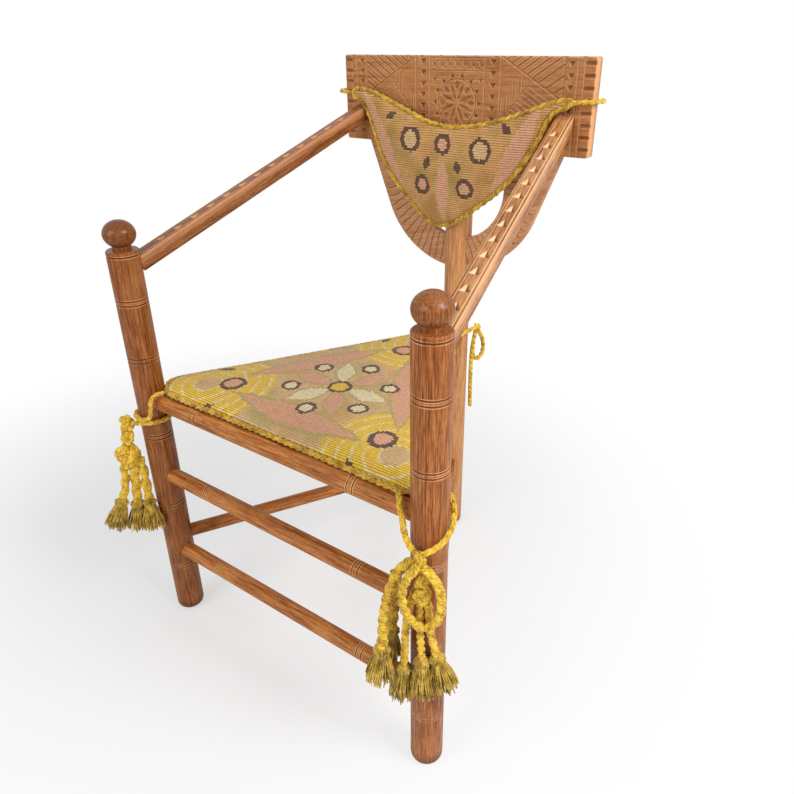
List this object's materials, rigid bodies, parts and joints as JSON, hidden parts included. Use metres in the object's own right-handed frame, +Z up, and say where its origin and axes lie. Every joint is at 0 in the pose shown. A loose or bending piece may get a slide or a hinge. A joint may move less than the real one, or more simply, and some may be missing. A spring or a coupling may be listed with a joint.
{
  "type": "corner chair",
  "caption": "Three-legged corner chair of turned oak with a carved crest board, sloping carved arms and three-cornered needlework cushions tied on with gold cord and tassels",
  "frame": {"origin": "centre of the rear post's sole, on the floor", "axes": "+Z up, -Y towards the sitter's front (the seat's long front rail), +X to the right of someone looking at the chair's front"},
  "size_m": [0.6376, 0.611, 0.901],
  "materials": {
    "dark_oak": "waxed reddish-brown oak, satin, glossier on the balls",
    "light_oak": "waxed orange-brown oak, satin",
    "needlework": "ribbed wool cross stitch in gold, olive, pink, cream and dark brown",
    "gold_cord": "braided golden yellow cotton cord",
    "tassel_wool": "olive gold yarn"
  },
  "bodies": {
    "root": {"front_left_post": "dark_oak", "front_right_post": "dark_oak", "front_seat_rail": "dark_oak", "left_seat_rail": "dark_oak", "right_seat_rail": "dark_oak", "front_upper_stretcher": "dark_oak", "front_lower_stretcher": "dark_oak", "left_side_stretcher": "dark_oak", "right_side_stretcher": "dark_oak", "left_arm": "dark_oak", "right_arm": "dark_oak", "seat_board": "dark_oak", "rear_post": "light_oak", "crest_board": "light_oak", "left_bracket": "light_oak", "right_bracket": "light_oak", "seat_cushion": "needlework", "back_cushion": "needlework", "seat_edging": "gold_cord", "back_edging": "gold_cord", "front_left_tie": "gold_cord", "front_right_tie": "gold_cord", "rear_tie": "gold_cord", "back_left_tie": "gold_cord", "back_right_tie": "gold_cord", "front_left_knot": "gold_cord", "front_left_tail_1": "gold_cord", "front_left_tail_2": "gold_cord", "front_left_tail_3": "gold_cord", "front_right_knot": "gold_cord", "front_right_hank": "gold_cord", "front_right_loop": "gold_cord", "front_right_tail_1": "gold_cord", "front_right_tail_2": "gold_cord", "front_right_tail_3": "gold_cord", "front_right_tail_4": "gold_cord", "front_right_tail_5": "gold_cord", "rear_knot": "gold_cord", "rear_loop": "gold_cord", "rear_tail": "gold_cord", "front_left_tassel_1": "tassel_wool", "front_left_tassel_2": "tassel_wool", "front_left_tassel_3": "tassel_wool", "front_right_tassel_1": "tassel_wool", "front_right_tassel_2": "tassel_wool", "front_right_tassel_3": "tassel_wool", "front_right_tassel_4": "tassel_wool", "front_right_tassel_5": "tassel_wool"}
  },
  "joints": []
}
